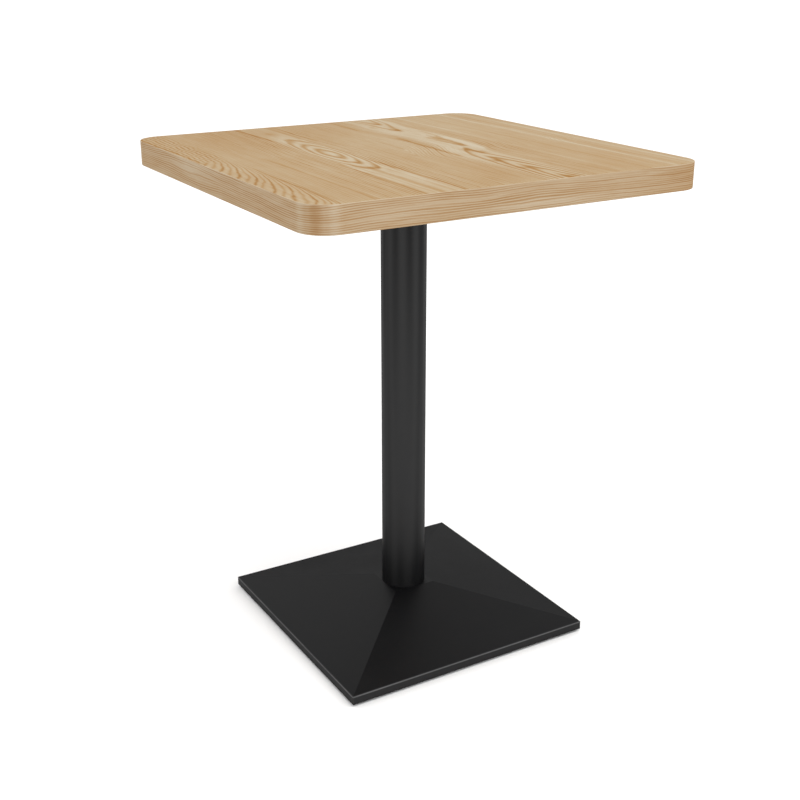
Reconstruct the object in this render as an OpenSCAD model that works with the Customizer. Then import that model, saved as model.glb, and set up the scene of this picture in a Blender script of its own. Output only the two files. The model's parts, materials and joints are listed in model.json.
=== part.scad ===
// Bistro table: a square veneered top on a round steel column and a low pyramid base.
// Origin: on the floor, under the middle of the column. Z is up, sides are along X and Y.

/* [Table top] */
// Side of the square top
top_side = 600; // [560:10:800]
// Thickness of the top
top_t = 36; // [30:1:45]
// Radius of the top's four upright corners
top_corner_r = 40; // [20:5:80]
// Height of the top's upper face over the floor
table_h = 750; // [650:10:1100]
// Thickness of the face veneer and of the backer under the board
sheet_t = 0.8; // [0.6:0.1:1.2]
// Thickness of the edge band
band_t = 1; // [0.8:0.1:2]

/* [Column] */
// Outer diameter of the column tube
column_d = 68.5; // [60:0.5:76]
// Wall of the column tube
column_wall = 2; // [1.5:0.5:3]

/* [Base] */
// Side of the square base over its rim
base_side = 412; // [380:2:480]
// Height of the rim's lower edge over the floor
rim_low = 4; // [3:0.5:5]
// Height of the rim itself
rim_h = 13; // [12:0.5:16]
// Height over the floor of the flat on which the column stands
flat_z = 56; // [54:1:64]
// How far that flat reaches past the column on each side
flat_margin = 0.75; // [0.5:0.25:3]
// Sheet thickness of the pressed cover
cover_t = 2; // [1.5:0.1:2.5]

/* [Bracket] */
// Distance from the middle to the outer screw of each arm
arm_reach = 225; // [180:5:250]
// Width of an arm
arm_w = 38; // [34:1:46]

/* [Levelling feet] */
// Distance from the middle to a foot, along X and along Y
foot_x = 158; // [140:1:160]
// Diameter of a foot's pad
pad_d = 30; // [26:1:34]

/* [Hidden] */

$fn = 96;
// radial gaps, from a plain hole round a screw down to two parts pressed together
play = 0.3;
clear = 0.1;
slack = 0.02;
// how far a cutter reaches past what it cuts
over = 1;

ash = "#c8a97f";
ash_edge = "#bd9f7c";
board = "#b08d5e";
backer = "#a98f6c";
black = "#1d1d1f";
iron = "#2a2a2c";
zinc = "#b9bcc0";
steel = "#8f9296";
plastic = "#161616";

// heights, from the floor up
top_low = table_h - top_t;
band_arris = 0.4;
band_seam = 0.15;
rim_top = rim_low + rim_h;

// slope of the pyramid, and the rounding where it meets the rim
base_half = base_side / 2;
flat_side = column_d + 2 * flat_margin;
slope = atan((flat_z - rim_top) / (base_half - flat_side / 2));
rim_round = 2;
base_corner_r = 2;

// bracket under the top
bracket_top = top_low - slack;
arm_t = 5;
arm_low = bracket_top - arm_t;
arm_flange_t = 4;
arm_flange_deep = 11;
arm_flange_shallow = 3;
arm_flange_start = 36;
bracket_hub_r = 45;
bracket_hub_t = 10;
spigot_h = 14;
nut_well_r = 17;
nut_well_z = bracket_top - 14;
inner_screw_r = 110;
screw_spots = [for (turn = [45:90:315], r = [inner_screw_r, arm_reach]) [turn, r]];

// screws that hold the bracket, and the inserts that they turn into
screw_r = 3;
screw_len = 26;
screw_pitch = 1;
screw_head_r = 6;
screw_head_h = 4;
screw_socket_af = 4;
screw_socket_deep = 2.4;
screw_washer_t = 1.6;
screw_washer_r = 8;
head_top = arm_low - screw_washer_t;
insert_r = 5;
insert_top = top_low + sheet_t + 20;
insert_pitch = 2.5;

// column and what runs inside it
column_r = column_d / 2;
column_bore_r = column_r - column_wall;
column_top = bracket_top - bracket_hub_t;
ring_h = 12;
ring_bore_r = 24.6;
rod_r = 6;
rod_hole_r = 6.5;
rod_pitch = 1.75;
rod_thread_len = 70;
rod_nut_af = 19;
rod_nut_h = 10;
rod_washer_t = 2.5;
rod_washer_r = 12;
spring_gap = 1;
spring_tilt = 35;
rod_low = 8;
rod_high = bracket_top - 0.5;

// cast weight under the cover
weight_gap = 1;
weight_half = base_half - cover_t - weight_gap;
weight_low = rim_low + weight_gap;
weight_plate_low = 9;
weight_plate_top = rim_top - cover_t;
weight_lip = 12;
weight_corner_r = 4;
hub_low_r = 46;
hub_top_r = flat_side / 2 - weight_gap;
hub_top = flat_z - cover_t;
hub_spigot_r = ring_bore_r - clear;
hub_well_r = 17;
hub_well_top = 24;
gusset_t = 9;
gusset_rise = 5;
rib_w = 10;

// levelling feet
foot_pad_h = 5.5;
foot_stud_r = 4;
foot_pitch = 1.25;
foot_bore_r = foot_stud_r + clear / 2;
foot_boss_r = 12;
foot_boss_top = 22;
foot_stud_top = 24;
foot_hex_af = 13;
foot_disc_r = 5;
foot_neck_r = 3.5;
foot_socket_low = 2;
foot_lip_low = 4.2;

// half the side at which the pyramid, sunk by t under its surface, stands at height z
function slope_half(z, t) = base_half - (z - rim_top + t / cos(slope)) / tan(slope);

module rounded_square(side, r) {
    square([side, side - 2 * r], center = true);
    square([side - 2 * r, side], center = true);
    for (x = [-1, 1], y = [-1, 1])
        translate([x, y] * (side / 2 - r)) circle(r);
}

module rounded_plate(side, r, low, high) {
    translate([0, 0, low]) linear_extrude(high - low) rounded_square(side, r);
}

// carries a profile, drawn with x measured outward from the plan's edge, all round a square
module along_rounded_square(side, r) {
    straight = side - 2 * r;
    for (turn = [0:90:270]) rotate(turn) {
        translate([side / 2, straight / 2, 0])
            rotate([90, 0, 0]) linear_extrude(straight) children();
        translate([straight / 2, straight / 2, 0])
            rotate_extrude(angle = 90) translate([r, 0]) children();
    }
}

// round bar along Z whose outline has closed ring grooves of thread depth
module ringed_bar(r, low, high, pitch, thread_low, thread_high) {
    depth = 0.6 * pitch;
    count = floor((thread_high - thread_low) / pitch);
    grooves = [for (i = [0:count - 1], corner = [[0, 0], [0.45, 1], [0.6, 1]])
        [r - depth * corner[1], thread_low + pitch * (i + corner[0])]];
    rotate_extrude()
        polygon(concat([[0, low], [r - depth, low], [r, low + depth]], grooves,
            [[r, thread_low + pitch * count], [r, high - depth], [r - depth, high], [0, high]]));
}

// hexagonal block with turned chamfers at both ends, standing on z = low
module hex_block(af, low, h) {
    corner_r = af / 2 / cos(30);
    turned_r = corner_r + clear;
    cut = (turned_r - af / 2) * tan(30);
    intersection() {
        translate([0, 0, low]) cylinder(r = corner_r, h = h, $fn = 6);
        rotate_extrude()
            polygon([[0, low], [af / 2, low], [turned_r, low + cut],
                [turned_r, low + h - cut], [af / 2, low + h], [0, low + h]]);
    }
}

module disc(r, low, high) {
    translate([0, 0, low]) cylinder(r = r, h = high - low);
}

module washer(r, hole_r, low, t) {
    difference() {
        disc(r, low, low + t);
        disc(hole_r, low - over, low + t + over);
    }
}

// solid pyramid on a rim, sunk by t under the base's outer surface
module pyramid(t, low, high) {
    half = base_half - t;
    tip = min(high, flat_z - t);
    round_r = rim_round;
    centre_x = half - round_r;
    centre_z = rim_top + (base_half - centre_x) * tan(slope) - (t + round_r) / cos(slope);
    shoulder = [centre_x + round_r * sin(slope), centre_z + round_r * cos(slope)];
    intersection() {
        for_both_ways() {
            for (side = [0, 1]) mirror([side, 0]) {
                polygon([[0, low], [half, low], [half, centre_z], [centre_x, centre_z],
                    shoulder, [slope_half(tip, t), tip], [0, tip]]);
                translate([centre_x, centre_z]) circle(round_r);
            }
        }
        rounded_plate(2 * half, base_corner_r - t / 2, low, tip);
    }
}

// what is under a profile of the XZ plane both along X and along Y
module for_both_ways() {
    intersection_for(turn = [0, 90])
        rotate(turn) rotate([90, 0, 0]) linear_extrude(base_side + 10, center = true) children();
}

module at_screws() {
    for (spot = screw_spots) rotate(spot[0]) translate([spot[1], 0, 0]) children();
}

module at_foot(x, y) {
    translate([x * foot_x, y * foot_x, 0]) children();
}

module at_feet() {
    for (x = [-1, 1], y = [-1, 1]) at_foot(x, y) children();
}

// ---- table top ----

module top_veneer() {
    color(ash) rounded_plate(top_side - 2 * band_t, top_corner_r - band_t, table_h - sheet_t, table_h);
}

module top_core() {
    color(board) difference() {
        rounded_plate(top_side - 2 * band_t, top_corner_r - band_t, top_low + sheet_t, table_h - sheet_t);
        at_screws() disc(insert_r + slack, top_low, insert_top + over);
    }
}

module edge_band() {
    a = band_arris;
    color(ash_edge) difference() {
        along_rounded_square(top_side, top_corner_r)
            polygon([[-band_t, top_low], [-a, top_low], [0, top_low + a],
                [0, table_h - a], [-a, table_h], [-band_t, table_h]]);
        // the butt joint, in the middle of the rear side
        translate([-band_seam / 2, top_side / 2 - band_t - over, top_low - over])
            cube([band_seam, band_t + 2 * over, top_t + 2 * over]);
    }
}

module underside_backer() {
    color(backer) difference() {
        rounded_plate(top_side - 2 * band_t, top_corner_r - band_t, top_low, top_low + sheet_t);
        at_screws() disc(insert_r + slack, top_low - over, top_low + sheet_t + over);
    }
}

module insert_nuts() {
    color(zinc) at_screws() difference() {
        ringed_bar(insert_r, top_low + sheet_t, insert_top, insert_pitch,
            top_low + sheet_t + insert_pitch, insert_top - insert_pitch / 2);
        disc(screw_r + slack, top_low, insert_top + over);
    }
}

// ---- bracket ----

module bracket_arm() {
    end_low = arm_low - arm_flange_shallow;
    difference() {
        union() {
            translate([0, -arm_w / 2, arm_low]) cube([arm_reach, arm_w, arm_t]);
            translate([arm_reach, 0, 0]) disc(arm_w / 2, arm_low, bracket_top);
            for (y = [-arm_w / 2 + arm_flange_t, arm_w / 2])
                translate([0, y, 0]) rotate([90, 0, 0]) linear_extrude(arm_flange_t)
                    polygon([[arm_flange_start, arm_low],
                        [arm_flange_start, arm_low - arm_flange_deep],
                        [arm_reach, end_low], [arm_reach, arm_low]]);
            // the flange carried round the arm's end
            translate([arm_reach, 0, 0]) intersection() {
                washer(arm_w / 2, arm_w / 2 - arm_flange_t, end_low, bracket_top - arm_t / 2 - end_low);
                translate([0, -arm_w, end_low - over]) cube([arm_w, 2 * arm_w, top_t]);
            }
        }
        for (r = [inner_screw_r, arm_reach])
            translate([r, 0, 0]) disc(screw_r + play, end_low - over, bracket_top + over);
    }
}

module spider_bracket() {
    color(black) difference() {
        union() {
            disc(bracket_hub_r, column_top, bracket_top);
            disc(column_bore_r - clear, column_top - spigot_h, column_top + over);
            for (turn = [45:90:315]) rotate(turn) bracket_arm();
        }
        disc(nut_well_r, nut_well_z, bracket_top + over);
        disc(rod_hole_r, column_top - spigot_h - over, bracket_top);
    }
}

module bracket_screws() {
    color(zinc) at_screws() difference() {
        union() {
            disc(screw_head_r, head_top - screw_head_h, head_top);
            ringed_bar(screw_r, head_top - over, head_top + screw_len, screw_pitch,
                top_low + 2 * screw_pitch, head_top + screw_len - screw_pitch);
        }
        translate([0, 0, head_top - screw_head_h - over])
            cylinder(d = screw_socket_af / cos(30), h = screw_socket_deep + over, $fn = 6);
    }
}

module bracket_washers() {
    color(zinc) at_screws() washer(screw_washer_r, screw_r + play, head_top, screw_washer_t);
}

// ---- column ----

module column_tube() {
    color(black) difference() {
        disc(column_r, flat_z, column_top);
        disc(column_bore_r, flat_z - over, column_top + over);
    }
}

module tube_centring_ring() {
    color(steel) washer(column_bore_r - clear, ring_bore_r, flat_z, ring_h);
}

module tie_rod() {
    color(zinc) {
        threaded_end();
        translate([0, 0, rod_low + rod_high]) mirror([0, 0, 1]) threaded_end();
        disc(rod_r, rod_low + rod_thread_len, rod_high - rod_thread_len);
    }
}

module threaded_end() {
    ringed_bar(rod_r, rod_low, rod_low + rod_thread_len + 2 * rod_pitch, rod_pitch,
        rod_low + rod_pitch, rod_low + rod_thread_len);
}

module rod_nut(low) {
    difference() {
        hex_block(rod_nut_af, low, rod_nut_h);
        disc(rod_r + slack, low - over, low + rod_nut_h + over);
    }
}

module rod_top_nut() {
    color(zinc) rod_nut(nut_well_z + rod_washer_t);
}

module rod_top_washer() {
    color(zinc) washer(rod_washer_r, rod_hole_r, nut_well_z, rod_washer_t);
}

module rod_base_washer() {
    color(zinc) washer(rod_washer_r, rod_hole_r, hub_well_top - rod_washer_t, rod_washer_t);
}

// split ring under the nut
module rod_base_spring_washer() {
    low = hub_well_top - 2 * rod_washer_t;
    color(steel) difference() {
        washer(rod_nut_af / 2, rod_hole_r, low, rod_washer_t);
        translate([0, 0, low + rod_washer_t / 2]) rotate([spring_tilt, 0, 0])
            translate([0, -spring_gap / 2, -rod_nut_af / 2]) cube([rod_nut_af, spring_gap, rod_nut_af]);
    }
}

module rod_base_nut() {
    color(zinc) rod_nut(hub_well_top - 2 * rod_washer_t - rod_nut_h);
}

// ---- base ----

module base_cover() {
    color(black) difference() {
        pyramid(0, rim_low, flat_z);
        pyramid(cover_t, rim_low - over, flat_z);
        disc(hub_spigot_r + play, hub_top - over, flat_z + over);
    }
}

module base_weight() {
    color(iron) difference() {
        union() {
            rounded_plate(2 * weight_half, weight_corner_r, weight_low, weight_plate_top);
            translate([0, 0, weight_plate_top - over])
                cylinder(r1 = hub_low_r, r2 = hub_top_r, h = hub_top - weight_plate_top + over);
            disc(hub_spigot_r, hub_top - over, flat_z + ring_h);
            at_feet() disc(foot_boss_r, weight_plate_low, foot_boss_top);
            for (turn = [45:90:315]) rotate(turn) weight_gusset();
        }
        weight_hollows();
        disc(hub_well_r, weight_low - over, hub_well_top);
        disc(rod_hole_r, weight_low, flat_z + ring_h + over);
        at_feet() disc(foot_bore_r, weight_low - over, foot_boss_top + over);
    }
}

// upright web from the hub down to a foot's boss
module weight_gusset() {
    start = hub_spigot_r;
    end = foot_x * sqrt(2) - foot_boss_r + over;
    translate([0, gusset_t / 2, 0]) rotate([90, 0, 0]) linear_extrude(gusset_t)
        polygon([[start, weight_plate_low + over], [start, hub_top - gusset_rise],
            [end, weight_plate_top + gusset_rise], [end, weight_plate_low + over]]);
}

// everything sunk into the weight's underside, between its lip, ribs and hub ring
module weight_hollows() {
    difference() {
        rounded_plate(2 * (weight_half - weight_lip), weight_corner_r, weight_low - over, weight_plate_low);
        disc(hub_low_r, weight_low - 2 * over, weight_plate_low + over);
        for (turn = [0, 90]) rotate(turn)
            translate([-weight_half, -rib_w / 2, weight_low - 2 * over])
                cube([2 * weight_half, rib_w, weight_plate_low]);
    }
}

// ---- levelling feet ----

module foot_pad() {
    r = pad_d / 2;
    edge = 1.5;
    color(plastic) difference() {
        rotate_extrude() {
            polygon([[0, 0], [r - edge, 0], [r - edge, edge], [r, edge], [r, foot_pad_h - edge],
                [r - edge, foot_pad_h], [0, foot_pad_h]]);
            translate([r - edge, edge]) circle(edge);
        }
        disc(foot_disc_r + clear / 2, foot_socket_low, foot_lip_low);
        disc(foot_neck_r + clear / 2, foot_socket_low, foot_pad_h + over);
    }
}

module foot_stud() {
    hex_low = foot_pad_h + clear;
    color(zinc) {
        disc(foot_disc_r, foot_socket_low, foot_lip_low - clear);
        disc(foot_neck_r, foot_socket_low, hex_low + over);
        hex_block(foot_hex_af, hex_low, weight_plate_low - hex_low);
        ringed_bar(foot_stud_r, weight_plate_low - over, foot_stud_top, foot_pitch,
            weight_plate_low + 0.6, foot_stud_top - 1);
    }
}

module foot_pad_front_left() at_foot(-1, -1) foot_pad();
module foot_pad_front_right() at_foot(1, -1) foot_pad();
module foot_pad_rear_left() at_foot(-1, 1) foot_pad();
module foot_pad_rear_right() at_foot(1, 1) foot_pad();
module foot_stud_front_left() at_foot(-1, -1) foot_stud();
module foot_stud_front_right() at_foot(1, -1) foot_stud();
module foot_stud_rear_left() at_foot(-1, 1) foot_stud();
module foot_stud_rear_right() at_foot(1, 1) foot_stud();

top_veneer();
top_core();
edge_band();
underside_backer();
insert_nuts();
spider_bracket();
bracket_screws();
bracket_washers();
column_tube();
tube_centring_ring();
tie_rod();
rod_top_nut();
rod_top_washer();
rod_base_nut();
rod_base_spring_washer();
rod_base_washer();
base_cover();
base_weight();
foot_pad_front_left();
foot_stud_front_left();
foot_pad_front_right();
foot_stud_front_right();
foot_pad_rear_left();
foot_stud_rear_left();
foot_pad_rear_right();
foot_stud_rear_right();
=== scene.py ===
"""A square bistro table: an ash-veneered top on a round black column and a low pyramid base.

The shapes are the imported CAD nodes. This script gives them their materials, made of shader
nodes only, and sets up the camera, the pale floor and the studio light.
Lengths are metres unless a name ends in _mm; Z is up and the table's front is towards -Y.
"""

import json
import math

import bpy
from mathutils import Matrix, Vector

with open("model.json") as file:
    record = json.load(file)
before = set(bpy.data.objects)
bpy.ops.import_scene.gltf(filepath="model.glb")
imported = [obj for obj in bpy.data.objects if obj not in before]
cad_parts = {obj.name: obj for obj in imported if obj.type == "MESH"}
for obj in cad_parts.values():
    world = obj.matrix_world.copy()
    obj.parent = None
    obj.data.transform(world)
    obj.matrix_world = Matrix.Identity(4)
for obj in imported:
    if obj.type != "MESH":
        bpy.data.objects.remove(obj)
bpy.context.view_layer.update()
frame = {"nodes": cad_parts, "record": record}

# ---------------------------------------------------------------- camera

CAMERA_AT = (-0.9018, -1.5182, 1.0282)
CAMERA_YAW, CAMERA_PITCH = math.radians(30.53), math.radians(20.57)
LENS_MM, SENSOR_MM = 54.9, 36.0


def make_camera():
    data = bpy.data.cameras.new("camera")
    data.lens, data.sensor_width = LENS_MM, SENSOR_MM
    data.clip_start, data.clip_end = 0.05, 100
    camera = bpy.data.objects.new("camera", data)
    camera.location = CAMERA_AT
    camera.rotation_euler = (math.pi / 2 - CAMERA_PITCH, 0, -CAMERA_YAW)
    bpy.context.scene.collection.objects.link(camera)
    bpy.context.scene.camera = camera


# ---------------------------------------------------------------- shader arithmetic


class Value:
    """A number inside a material. Arithmetic on it adds Math nodes to the material's tree."""

    def __init__(self, tree, socket):
        self.tree = tree
        self.socket = socket

    def math(self, operation, *others):
        node = self.tree.nodes.new("ShaderNodeMath")
        node.operation = operation
        for slot, item in zip(node.inputs, (self, *others)):
            feed(self.tree, slot, item)
        return Value(self.tree, node.outputs[0])

    def __add__(self, other):
        return self.math("ADD", other)

    def __sub__(self, other):
        return self.math("SUBTRACT", other)

    def __rsub__(self, other):
        return (self * -1) + other

    def __mul__(self, other):
        return self.math("MULTIPLY", other)

    def __truediv__(self, other):
        return self.math("DIVIDE", other)

    __radd__ = __add__

    def power(self, other):
        return self.math("POWER", other)

    def size(self):
        return self.math("ABSOLUTE")

    def most(self, other):
        return self.math("MAXIMUM", other)

    def cosine(self):
        return self.math("COSINE")

    def root(self):
        return self.math("SQRT")

    def step(self, start, end, low=0.0, high=1.0):
        """Goes smoothly from low at start to high at end."""
        node = self.tree.nodes.new("ShaderNodeMapRange")
        node.interpolation_type = "SMOOTHSTEP"
        for name, item in (
            ("Value", self),
            ("From Min", start),
            ("From Max", end),
            ("To Min", low),
            ("To Max", high),
        ):
            feed(self.tree, node.inputs[name], item)
        return Value(self.tree, node.outputs["Result"])

    def hump(self, middle, reach):
        """1 at middle, falling smoothly to 0 at that reach on both sides."""
        return (self - middle).size().step(0, reach, 1, 0)


def feed(tree, slot, item):
    """Links a Value to an input, or sets the input to a plain number or colour."""
    if isinstance(item, Value):
        tree.links.new(item.socket, slot)
    else:
        slot.default_value = item


class Finish:
    """A material in the making, with the few nodes that every finish here uses."""

    def __init__(self, name):
        self.material = bpy.data.materials.new(name)
        self.material.use_nodes = True
        self.tree = self.material.node_tree
        self.surface = self.tree.nodes["Principled BSDF"]
        place = self.tree.nodes.new("ShaderNodeTexCoord").outputs["Object"]
        split = self.tree.nodes.new("ShaderNodeSeparateXYZ")
        self.tree.links.new(place, split.inputs[0])
        self.x_mm, self.y_mm, self.z_mm = (
            Value(self.tree, out) * 1000 for out in split.outputs
        )

    def point(self, x, y, z):
        node = self.tree.nodes.new("ShaderNodeCombineXYZ")
        for slot, item in zip(node.inputs, (x, y, z)):
            feed(self.tree, slot, item)
        return Value(self.tree, node.outputs[0])

    def noise(self, x, y, z, detail, roughness=0.5):
        """Smooth noise around 0.5 at a point whose unit is one blob."""
        node = self.tree.nodes.new("ShaderNodeTexNoise")
        feed(self.tree, node.inputs["Vector"], self.point(x, y, z))
        node.inputs["Scale"].default_value = 1
        node.inputs["Detail"].default_value = detail
        node.inputs["Roughness"].default_value = roughness
        return Value(self.tree, node.outputs[0])

    def blobs(self, size_mm, detail, roughness=0.5):
        """Noise around 0.5 whose blobs have the same size in all directions."""
        place = (axis / size_mm for axis in (self.x_mm, self.y_mm, self.z_mm))
        return self.noise(*place, detail, roughness)

    def ramp(self, position, stops, interpolation):
        """A colour read off (place, colour) stops, with places from 0 to 1."""
        node = self.tree.nodes.new("ShaderNodeValToRGB")
        node.color_ramp.interpolation = interpolation
        elements = node.color_ramp.elements
        for _ in stops[2:]:  # a new ramp has two
            elements.new(0.5)
        for element, (at, colour) in zip(elements, stops):
            element.position = at
            element.color = colour
        feed(self.tree, node.inputs[0], position)
        return Value(self.tree, node.outputs[0])

    def profile(self, position, stops):
        """A smooth curve through (position, height) pairs, for use as a mask."""
        start, length = stops[0][0], stops[-1][0] - stops[0][0]
        greys = [((at - start) / length, (height, height, height, 1)) for at, height in stops]
        return self.ramp((position - start) / length, greys, "EASE")

    def blend(self, share, first, second):
        """The first colour at a share of 0, the second at 1."""
        node = self.tree.nodes.new("ShaderNodeMix")
        node.data_type = "RGBA"
        colours_in = [s for s in node.inputs if s.type == "RGBA"]
        for slot, item in zip((node.inputs[0], *colours_in), (share, first, second)):
            feed(self.tree, slot, item)
        return Value(self.tree, next(s for s in node.outputs if s.type == "RGBA"))

    def paint(self, tone, stops):
        """A colour for a tone from 0 to 1, straight between (tone, colour) stops."""
        return self.ramp(tone, stops, "LINEAR")

    def set(self, name, item):
        feed(self.tree, self.surface.inputs[name], item)

    def by_angle(self, stops):
        """A curve over the angle of view: 0 where the face is square on, 1 where it is edge on."""
        facing = self.tree.nodes.new("ShaderNodeLayerWeight")
        facing.inputs["Blend"].default_value = 0.5
        return self.profile(Value(self.tree, facing.outputs["Facing"]), stops)

    def relief(self, height_mm):
        """Raises the surface by a height given in millimetres."""
        node = self.tree.nodes.new("ShaderNodeBump")
        node.inputs["Strength"].default_value = 1
        node.inputs["Distance"].default_value = 0.001
        feed(self.tree, node.inputs["Height"], height_mm)
        self.tree.links.new(node.outputs[0], self.surface.inputs["Normal"])


def linear(red, green, blue):
    """A colour given as seen, 0 to 255, turned into the light values that shaders use."""

    def one(level):
        level /= 255
        return level / 12.92 if level <= 0.04045 else ((level + 0.055) / 1.055) ** 2.4

    return (one(red), one(green), one(blue), 1)


# ---------------------------------------------------------------- wood

HALF_MM, CORNER_MM = 300.0, 40.0
CORNER_CENTRE_MM = HALF_MM - CORNER_MM
# Growth rings lie 8 mm apart in the ovals and arches, and closer where they run straight.
RING_MM, STRAIGHT_RING_MM = 8.0, 4.6
CLOSER = 1 / STRAIGHT_RING_MM - 1 / RING_MM
EYE_X_MM, EYE_Y_MM = -110.0, 25.0
EYE_ROUND, GAP_ROUND = 2.2, 1.6  # 2 gives ellipses, less gives pointed arches
WOOD_LIGHT = 1.42
LACQUER_VEIL = 0.035
# How much the painted highlight along the arris lifts the tone of the top and of the band.
ARRIS_HIGHLIGHT = 0.19
# Heights of the relief. The dark lines have none: a bump copies all that feeds it, and with
# those lines in it the shader is too big for Cycles.
FIBRE_MM, PORE_MM = 0.012, 0.02
LACQUER_SHINE = [(0, 0.40), (0.25, 0.20), (0.5, 0.07), (0.75, 0.013), (1, 0.0)]


def wood_tone(red, green, blue):
    """The wood's own colour for a colour as seen under this light and through its lacquer."""
    seen = linear(red, green, blue)
    return tuple((level - LACQUER_VEIL) / WOOD_LIGHT for level in seen[:3]) + (1,)


def ring_lines(phase, sharpness):
    """Dark latewood lines, one for every whole step of the phase."""
    return (phase * (2 * math.pi)).cosine().math("MULTIPLY_ADD", -0.5, 0.5).power(sharpness)


# Streaks drawn one by one on the top: x at the front end and at the rear end, y of those
# ends, half width (all mm) and depth, which is negative for pale ones. Streaks that end at
# 330 run off the top.
STREAKS = (
    (37, 46, -105, 108, 4.5, 0.8),
    (112, 114, 86, 158, 3.0, 0.55),
    (124, 121, -60, 82, 2.8, 0.5),
    (130, 128, -45, 60, 2.5, 0.35),
    (30, 34, 180, 330, 4.0, 0.4),
    (-130, -134, 140, 330, 3.5, 0.6),
    (-84, -82, 150, 330, 3.5, 0.5),
    (-74, -71, 120, 330, 3.0, 0.35),
    (-148, -139, -330, -55, 2.4, 0.6),
    (-90, -86, -330, -60, 2.6, 0.6),
    (-122, -118, -330, -96, 5.5, 0.55),
    (-132, -130, -330, -70, 2.2, 0.25),
    (-104, -101, -330, -60, 2.2, 0.25),
    (-211, -208, -330, 40, 3.0, 0.4),
    (-204, -203, -330, -50, 2.6, -0.2),
    (-262, -252, -330, -30, 2.6, 0.45),
    (-298, -296, 20, 330, 4.0, 0.5),
    (105, 114, -62, 84, 6.0, -0.55),
    (160, 158, -330, 330, 3.5, -0.25),
    (247, 243, -330, 330, 5.0, -0.3),
    (262, 260, -330, 330, 3.0, 0.3),
    (284, 277, -330, 330, 6.0, -0.25),
    (203, 199, -330, 330, 3.0, 0.2),
)
# Soft blots where arches close: x, y and the two half widths (mm) and depth.
BLOTS = (
    (-106, 228, 12, 22, 0.35),
    (92, 241, 10, 11, 0.6),
    (86, 168, 12, 12, 0.8),
    (66, 212, 6, 16, 0.4),
    (74, -48, 8, 14, 0.6),
    (84, -77, 9, 15, 0.7),
    (60, -146, 9, 13, 0.8),
    (57, -209, 9, 12, 0.6),
    (73, -290, 13, 15, 0.7),
    (94, -8, 7, 16, 0.5),
)

# Slow changes of tone across the sheet: x, y and the two reaches (mm) and how much paler.
CLOUDS = (
    (-200, 235, 90, 210, -0.45),
    (-20, 225, 80, 170, -0.4),
    (210, 190, 120, 240, 0.2),
    (200, -170, 60, 260, -0.1),
    (-100, 20, 85, 170, 0.55),
    (15, 20, 65, 170, 0.5),
    (-220, 50, 50, 170, -0.25),
    (-112, 245, 48, 100, -0.75),
    (75, 265, 45, 70, -0.4),
    (0, -220, 75, 110, -0.4),
    (165, -230, 110, 110, -0.25),
    (168, 90, 45, 200, 0.25),
    (290, 190, 70, 190, -0.3),
    (-168, -150, 45, 190, 0.18),
)


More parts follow.
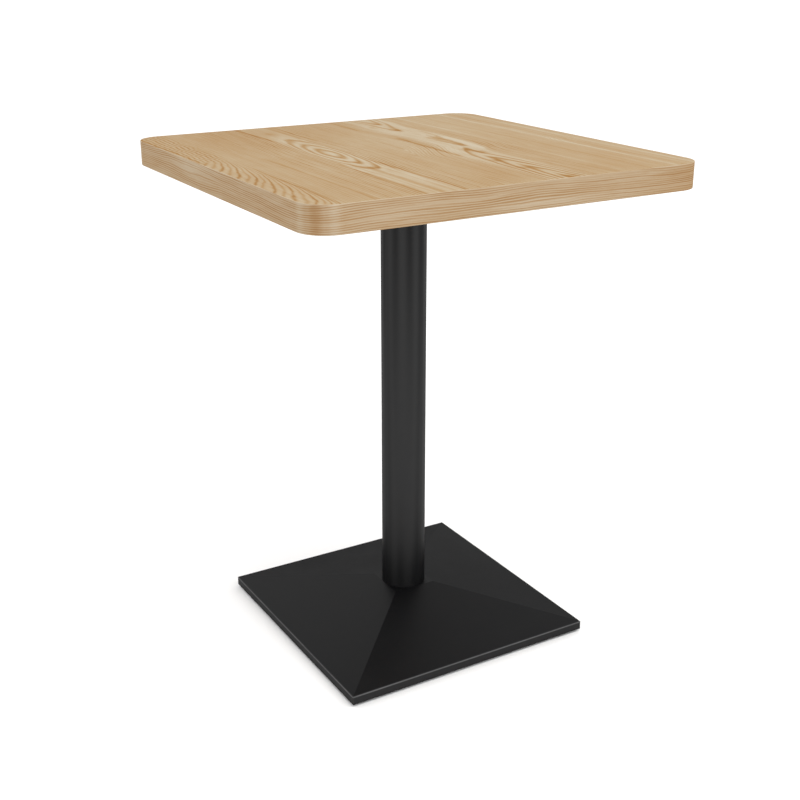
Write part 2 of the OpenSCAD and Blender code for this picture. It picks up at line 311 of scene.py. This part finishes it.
def ash_top():
    """Crown-cut ash, grain along Y: a column of ovals and a split column among straight stripes."""
    f = Finish("ash_veneer")
    # x0 and y are true places; x sways with the grain, and yr is y with frayed ends
    x0, y = f.x_mm, f.y_mm
    wander = (f.noise(x0 / 70, y / 230, 0.3, 2) - 0.5) * 10
    shiver = (f.noise(x0 / 14, y / 55, 7.1, 2) - 0.5) * 4
    x = x0 + wander + shiver
    yr = y + (f.noise(x0 / 9, y / 40, 3.7, 2) - 0.5) * 26
    broken = f.noise(x0 / 6, y / 50, 5.5, 3, 0.6)

    # the eye: ovals round one spot, closing into straight lines beyond them
    eye_y = (yr - EYE_Y_MM).most(20 - yr).most(0.1)
    eye_rise = (eye_y.power(0.7) * 0.8).math("SMOOTH_MIN", 29.0, 6.0)
    eye_x = (x - y * 0.05 - EYE_X_MM).size()
    eye = (eye_x.power(EYE_ROUND) + eye_rise.power(EYE_ROUND)).power(1 / EYE_ROUND)
    eye_phase = (eye / RING_MM - 0.5).most(eye / (2 * RING_MM)) + (eye - 25).most(0) * CLOSER

    # the split column: arches that open to the rear above, and to the front below
    axis = y.step(-90, 20, 71, 95) - y.step(80, 175, 0, 8) + y.step(185, 260, 0, 6)
    gap_rise = 42.4 - ((yr - 60) * (yr - 60) + 900).root() * 0.1
    gap_side = (x - axis).size()
    gap = (gap_side.power(GAP_ROUND) + gap_rise.most(0.5).power(GAP_ROUND)).power(1 / GAP_ROUND)
    gap_phase = gap / RING_MM + (gap - 33).most(0) * CLOSER + 0.62

    phase = eye_phase.math("SMOOTH_MIN", gap_phase, 2.0)
    phase = phase + (f.noise(phase * 0.23, y / 500, 6.6, 1) - 0.5) * 1.2
    lines = ring_lines(phase, 1.8)

    # straight lines come and go; those of the eye and of the split column are all there
    figured = (x - EYE_X_MM).size().step(26, 36, 1, 0) * (yr - 15).size().step(150, 190, 1, 0)
    figured = figured.most(gap_side.step(26, 38, 1, 0))
    uneven = f.noise(phase * 0.62, y / 260, 1.9, 2).step(0.3, 0.66).most(figured)

    # stretches with hardly any lines: over and under the eye, and across the split
    stripe = (x - y.step(-100, 150, -115, -107)).size()
    calm_eye = stripe.step(17, 25, 1, 0) * eye.step(25.5, 28)
    calm_gap = gap_side.step(27, 34, 1, 0) * gap.step(32, 34)
    lines = lines * (1 - calm_eye * 0.9) * (1 - calm_gap * 0.9)

    strength = f.profile(
        x0,
        [
            (-300, 0.7),
            (-258, 0.7),
            (-246, 0.25),
            (-205, 0.35),
            (-180, 0.75),
            (-145, 0.8),
            (-112, 1.0),
            (-66, 0.85),
            (-45, 0.5),
            (-5, 0.45),
            (22, 0.65),
            (42, 0.95),
            (85, 1.0),
            (125, 0.85),
            (148, 0.65),
            (162, 0.3),
            (236, 0.25),
            (244, 0.6),
            (300, 0.5),
        ],
    )
    dark = lines * strength * (uneven * 0.85 + 0.15) * (broken + 0.5)
    dark = dark * y.step(250, -200, 0.8, 1.15)

    # slanting strokes of the next growth, along the left side towards the front
    left = (x0 + wander).step(-244, -264) * (yr + wander * 3).step(62, 20)
    across = (x0 + HALF_MM) / 47
    slant = y / 27 - across * 3.3 - across.power(4) * 3.6
    slant = slant + (f.noise(x0 / 40, y / 60, 2.9, 2) - 0.5) * 1.6 + (broken - 0.5) * 0.3
    every_other = ((slant - 0.5) * math.pi).cosine() * 0.2 + 0.8
    strokes = ring_lines(slant, 2.2) * (broken + 0.4) * every_other
    dark = dark * (1 - left) + strokes * left * 0.95

    # behind the strokes the lines run on to the rear, close together and wavy
    beyond = x0.step(-246, -266) * yr.step(15, 60)
    ripple = (f.noise(x0 / 60, y / 26, 4.7, 2) - 0.5) * 13
    waves = ring_lines((x0 + ripple) / 6.5, 1.6) * (broken + 0.4)
    dark = dark * (1 - beyond) + waves * beyond * 0.95

    # a flame-shaped blot in the split column
    flame_half = (y + 27).most(0.1).power(0.58) + 1
    lick = f.noise(x0 / 7, y / 26, 4.4, 3)
    flame_side = (x - 96).size() + (lick - 0.5) * 14
    flame = flame_side.step(flame_half * 0.75, flame_half * 1.05, 1, 0)
    flame = flame * y.step(-28, -12) * (yr + lick * 50 - x0 * 0.4).step(82, 58)
    flame = flame * (f.noise(x0 / 3, y / 45, 8.1, 2) * 1.1 + 0.1)
    drawn = flame
    for at_x, at_y, reach_x, reach_y, depth in BLOTS:
        drawn = drawn + x0.hump(at_x, reach_x * 1.3) * yr.hump(at_y, reach_y * 1.3) * depth
    xs = x0 + shiver
    for front_x, rear_x, front_y, rear_y, half, depth in STREAKS:
        slope = (rear_x - front_x) / (rear_y - front_y)
        streak = (xs - y * slope).hump(front_x - front_y * slope, half * 1.3)
        drawn = drawn + streak * y.step(front_y, front_y + 25) * y.step(rear_y, rear_y - 25) * depth
    dark = dark + drawn * (broken * 1.2 + 0.4)

    # pale wood inside the arches, and the slow changes of tone across the sheet
    pale = stripe.step(19, 27, 1, 0) * (yr + 20).size().step(30, 110, 0.6, 0.85)
    pale = pale * yr.hump(-60, 120).step(0, 1, 0.72, 1.1)
    pale = pale + (x - axis + 3).size().step(28, 42, 1, 0) * yr.step(-330, 40, 0.55, 0.95)
    pale = pale + f.profile(
        x0,
        [
            (-300, 0.35),
            (-256, 0.25),
            (-240, 0.05),
            (-150, 0),
            (-60, 0.1),
            (30, 0.1),
            (140, 0.25),
            (160, 0.1),
            (232, 0.05),
            (244, 0.4),
            (300, 0.45),
        ],
    )
    cloud = f.noise(x0 / 90, y / 150, 9.4, 3) - 0.5
    for at_x, at_y, reach_x, reach_y, change in CLOUDS:
        cloud = cloud + x0.hump(at_x, reach_x) * y.hump(at_y, reach_y) * change
    strand = f.noise(x / 3.4, y / 150, 6.1, 3, 0.6) - 0.5
    fleck = f.noise(x0 / 1.3, y / 34, 2.2, 3, 0.65) - 0.5
    pore = f.noise(x0 / 0.55, y / 9, 8.8, 2).step(0.60, 0.74)

    # a painted highlight along the arris, all round the top
    corner_x, corner_y = ((v.size() - CORNER_CENTRE_MM).most(0) for v in (x0, y))
    inward = CORNER_MM - (corner_x * corner_x + corner_y * corner_y).root()
    arris_highlight = inward.step(1.8, 0.6) * (broken + 0.4)

    tone = 0.55 + pale * 0.25 + cloud * 0.34 + strand * 0.42 + fleck * 0.5
    tone = tone + arris_highlight * ARRIS_HIGHLIGHT - dark * 0.6 - pore * 0.1
    colour = f.paint(
        tone,
        [
            (0.0, wood_tone(171, 130, 83)),
            (0.3, wood_tone(184, 152, 111)),
            (0.6, wood_tone(193, 169, 135)),
            (0.9, wood_tone(205, 190, 165)),
        ],
    )
    f.set("Base Color", colour)
    f.set("Roughness", 0.46 + dark * 0.05 + pore * 0.12 + cloud * 0.06)
    f.set("Specular IOR Level", f.by_angle(LACQUER_SHINE))
    f.relief(fleck * FIBRE_MM - pore * PORE_MM)
    return f.material


def ash_edge():
    """The edging: lines that run level round the top, swelling here and there into a lens."""
    f = Finish("ash_edge")
    x, y, z = f.x_mm, f.y_mm, f.z_mm
    slow = f.noise(x / 170, y / 170, z / 45, 1) - 0.5
    quick = f.noise(x / 45, y / 45, z / 20, 2) - 0.5
    front_lens = x.hump(30, 120) * z.hump(719, 14) * y.step(-280, -295)
    left_lens = y.hump(70, 130) * z.hump(745, 14) * x.step(-280, -295)
    phase = z / 2.7 + slow * 4.5 + quick * 0.6 + front_lens * 1.1 - left_lens * 1.1
    uneven = f.noise(phase * 0.7, x / 220, y / 220, 2).step(0.28, 0.62)
    thin = ring_lines(phase * 1.9 + quick * 0.8, 1.2) * f.noise(phase * 1.3, x / 60, y / 60, 1)
    lines = ring_lines(phase, 1.4) * (uneven + 0.1) + thin * 0.55

    # painted light and shade where the band is bent round the left corners: a dark streak between
    # pale ones on its face; and the front darkens towards its right end
    turn = x.size() - y.size()
    bent = (x.size() + y.size()).step(535, 555)
    corner_shading_and_end_tone = bent * (turn.size().hump(30, 14) * 0.2 - turn.hump(0, 17) * 0.3)
    corner_shading_and_end_tone = corner_shading_and_end_tone * x.step(20, -20) + x.step(120, 300) * y.step(-230, -290) * -0.18
    fleck = f.noise(x / 26, y / 26, z / 0.8, 3, 0.6) - 0.5
    cloud = f.noise(x / 90, y / 90, z / 12, 2) - 0.5
    pore = f.noise(x / 7, y / 7, z / 0.45, 2).step(0.60, 0.74)
    # a painted highlight along the band's upper arris
    arris_highlight = z.step(748.4, 749.4) * (quick + 0.9)
    tone = 0.70 + cloud * 0.35 + fleck * 0.5 + (front_lens + left_lens) * 0.2 + corner_shading_and_end_tone
    tone = tone + arris_highlight * ARRIS_HIGHLIGHT - lines * 0.5 - pore * 0.12
    colour = f.paint(
        tone,
        [
            (0.0, wood_tone(168, 129, 88)),
            (0.35, wood_tone(185, 153, 115)),
            (0.65, wood_tone(199, 176, 146)),
            (0.95, wood_tone(208, 191, 166)),
        ],
    )
    f.set("Base Color", colour)
    f.set("Roughness", 0.47 + lines * 0.05 + pore * 0.1)
    f.set("Specular IOR Level", f.by_angle(LACQUER_SHINE))
    f.relief(fleck * FIBRE_MM - pore * PORE_MM)
    return f.material


def backing_veneer():
    """The plain sheet under the top, grain along Y."""
    f = Finish("backing_veneer")
    x, y = f.x_mm, f.y_mm
    sway = (f.noise(x / 90, y / 300, 4.2, 2) - 0.5) * 30
    stripe = f.noise((x + sway) / 7, y / 500, 1.1, 3, 0.6) - 0.5
    fleck = f.noise(x / 1.4, y / 40, 6.3, 3, 0.65) - 0.5
    cloud = f.noise(x / 120, y / 160, 2.6, 2) - 0.5
    tone = stripe * 1.3 + fleck * 0.6 + cloud * 0.5
    dark, light = wood_tone(158, 126, 88), wood_tone(190, 160, 122)
    f.set("Base Color", f.blend(tone.step(-0.7, 0.7), dark, light))
    f.set("Roughness", 0.62 + fleck * 0.15)
    f.relief(fleck * 0.02)
    return f.material


def raw_board():
    """Chipboard, seen only down the screw holes."""
    f = Finish("board")
    chip = f.noise(f.x_mm / 3, f.y_mm / 5, f.z_mm / 1.5, 3, 0.7)
    dark, light = wood_tone(150, 116, 74), wood_tone(196, 164, 118)
    f.set("Base Color", f.blend(chip.step(0.35, 0.65), dark, light))
    f.set("Roughness", 0.85)
    f.relief(chip * 0.3)
    return f.material


# ---------------------------------------------------------------- metal and plastic


# Shine by angle: on upright faces, and on the duller slopes of the base.
UPRIGHT_SHINE = [
    (0, 0.36),
    (0.16, 0.33),
    (0.35, 0.185),
    (0.52, 0.11),
    (0.65, 0.055),
    (0.78, 0.024),
    (0.88, 0.006),
    (1, 0),
]
SLOPE_SHINE = [
    (0, 0.38),
    (0.2, 0.2),
    (0.33, 0.088),
    (0.42, 0.09),
    (0.65, 0.016),
    (0.75, 0.006),
    (1, 0.004),
]
# The painted highlight on the rim's upper edge lies this high and this far out from the middle.
HIGHLIGHT_Z_MM, HIGHLIGHT_OUT_MM = 16.2, 204.0
SLOPES_FROM_MM, SLOPES_TO_MM = 16.5, 56.5
COLUMN_FROM_MM, COLUMN_TO_MM = 33.5, 35.0
# How many painted reflection streaks go round the column.
SHEEN_STREAKS_ROUND = 10


def black_coating():
    """Satin black powder coat with a fine orange peel, a little dust, a painted highlight on the
    rim's upper edge and painted reflection streaks on the column.
    """
    f = Finish("black_coating")
    x, y, z = f.x_mm, f.y_mm, f.z_mm
    peel = f.blobs(1.1, 2) - 0.5
    swell = f.blobs(6, 2) - 0.5
    patch = f.blobs(70, 3) - 0.5
    dust = f.blobs(0.8, 1).step(0.74, 0.82)
    # painted highlight: the rim's upper edge is turned pale grey
    on_highlight_edge = x.size().most(y.size()).step(HIGHLIGHT_OUT_MM - 1, HIGHLIGHT_OUT_MM)
    rim_highlight = z.hump(HIGHLIGHT_Z_MM, 1.4) * on_highlight_edge * (0.65 + patch * 0.8 + swell * 0.5)
    coat = f.blend(dust * 0.5 + patch * 0.2, linear(13, 13, 14), linear(40, 40, 40))
    f.set("Base Color", f.blend(rim_highlight, coat, linear(90, 90, 91)))
    f.set("Roughness", 0.40 + patch * 0.10 + swell * 0.05)
    sloping = z.step(SLOPES_FROM_MM, SLOPES_FROM_MM + 0.5)
    sloping = sloping * z.step(SLOPES_TO_MM, SLOPES_TO_MM - 0.5)
    upright = f.by_angle(UPRIGHT_SHINE)

    # upright streaks in the column's sheen, strongest under the top and just above the base:
    # painted reflections and painted shade
    out = (x * x + y * y).root()
    on_column = out.step(COLUMN_FROM_MM - 0.5, COLUMN_FROM_MM)
    on_column = on_column * out.step(COLUMN_TO_MM + 0.5, COLUMN_TO_MM)
    turn = y.math("ARCTAN2", x) * (SHEEN_STREAKS_ROUND / (2 * math.pi)) - z.step(300, 100) * 0.36
    uneven = f.noise(x / 30, y / 30, z / 400, 1)
    reach = z.step(200, 720).power(1.5) + z.step(150, 60) * z.step(57, 60) * 0.6
    painted_sheen_streaks = ring_lines(turn + 0.3 + uneven * 0.3, 1.2) * (uneven + 0.4) * reach * on_column
    upright = upright * (1 - painted_sheen_streaks * 0.6)
    f.set("Specular IOR Level", upright + (f.by_angle(SLOPE_SHINE) - upright) * sloping)
    f.relief(peel * 0.006 + swell * 0.012)
    return f.material


def cast_black():
    """Sand-cast iron under black primer: grainy, with the odd bare, rusty fleck."""
    f = Finish("cast_black")
    grain = f.blobs(1.6, 4, 0.65) - 0.5
    lump = f.blobs(12, 2) - 0.5
    rust = f.blobs(5, 3, 0.6).step(0.64, 0.72)
    f.set("Base Color", f.blend(rust * 0.5, linear(44, 43, 43), linear(96, 66, 48)))
    f.set("Roughness", 0.68 + grain * 0.25 + rust * 0.1)
    f.relief(grain * 0.12 + lump * 0.15)
    return f.material


def zinc_plated():
    """Bright zinc over steel: bluish grey, faintly mottled."""
    f = Finish("zinc_plated")
    x, y, z = f.x_mm, f.y_mm, f.z_mm
    mottle = f.blobs(4, 3, 0.6) - 0.5
    scuff = f.noise(x / 1.2, y / 1.2, z / 0.5, 3) - 0.5
    f.set("Metallic", 1.0)
    dark, light = linear(168, 172, 178), linear(204, 205, 203)
    f.set("Base Color", f.blend(mottle.step(-0.2, 0.2), dark, light))
    f.set("Roughness", 0.30 + mottle * 0.2 + scuff * 0.15)
    f.relief(scuff * 0.01)
    return f.material


def bare_steel():
    """Turned steel, with tool marks round the axis and a light oil film."""
    f = Finish("bare_steel")
    x, y, z = f.x_mm, f.y_mm, f.z_mm
    out = (x * x + y * y).root()
    turned = f.noise(out / 0.15, z / 0.15, 0.5, 2) - 0.5
    film = f.blobs(9, 3) - 0.5
    f.set("Metallic", 1.0)
    dark, light = linear(132, 130, 128), linear(168, 167, 166)
    f.set("Base Color", f.blend(film.step(-0.2, 0.2), dark, light))
    f.set("Roughness", 0.34 + turned * 0.1 + film * 0.15)
    f.relief(turned * 0.01)
    return f.material


def black_plastic():
    """Moulded black polymer, finely spark-eroded."""
    f = Finish("black_plastic")
    spark = f.blobs(0.4, 2) - 0.5
    scuff = f.blobs(6, 3) - 0.5
    f.set("Base Color", f.blend(scuff.step(-0.1, 0.3), linear(30, 30, 31), linear(58, 57, 56)))
    f.set("Roughness", 0.55 + scuff * 0.2)
    f.relief(spark * 0.02)
    return f.material


FINISHES = {
    "ash_veneer": ash_top,
    "ash_edge": ash_edge,
    "board": raw_board,
    "backing_veneer": backing_veneer,
    "zinc_plated": zinc_plated,
    "black_coating": black_coating,
    "bare_steel": bare_steel,
    "cast_black": cast_black,
    "black_plastic": black_plastic,
}


def dress_nodes():
    """Gives every CAD node the finish that the record names for it."""
    materials = {slot: make() for slot, make in FINISHES.items()}
    for row in frame["record"]["subparts"]:
        for slot in frame["nodes"][row["node"]].material_slots:
            slot.material = materials[row["material_slot"]]


# ---------------------------------------------------------------- floor and light

FLOOR_HALF = 30.0
FLOOR_GREY = 0.93
SKY_LEVEL = 1.25
KEY_AT, KEY_AIM = (0.5, -1.6, 3.6), (0, 0, 0.6)
KEY_ACROSS, KEY_WATTS = 3.0, 50


def make_floor():
    mesh = bpy.data.meshes.new("floor")
    h = FLOOR_HALF
    mesh.from_pydata([(-h, -h, 0), (h, -h, 0), (h, h, 0), (-h, h, 0)], [], [(0, 1, 2, 3)])
    floor = bpy.data.objects.new("floor", mesh)
    bpy.context.scene.collection.objects.link(floor)
    f = Finish("pale_floor")
    f.set("Base Color", (FLOOR_GREY, FLOOR_GREY, FLOOR_GREY, 1))
    f.set("Roughness", 0.9)
    f.set("Specular IOR Level", 0.1)
    mesh.materials.append(f.material)


def make_light():
    """An even dome of soft light, with one wide lamp above the front."""
    world = bpy.data.worlds.new("studio")
    world.use_nodes = True
    sky = world.node_tree.nodes["Background"]
    sky.inputs["Color"].default_value = (1, 1, 1, 1)
    sky.inputs["Strength"].default_value = SKY_LEVEL
    bpy.context.scene.world = world

    data = bpy.data.lights.new("key", "AREA")
    data.shape = "DISK"
    data.size, data.energy = KEY_ACROSS, KEY_WATTS
    lamp = bpy.data.objects.new("key", data)
    lamp.location = KEY_AT
    aim = Vector(KEY_AIM) - Vector(KEY_AT)
    lamp.rotation_euler = aim.to_track_quat("-Z", "Y").to_euler()
    bpy.context.scene.collection.objects.link(lamp)


# ---------------------------------------------------------------- the scene

make_camera()
dress_nodes()
make_floor()
make_light()
bpy.context.scene.view_settings.view_transform = "Standard"
bpy.context.scene.view_settings.look = "None"
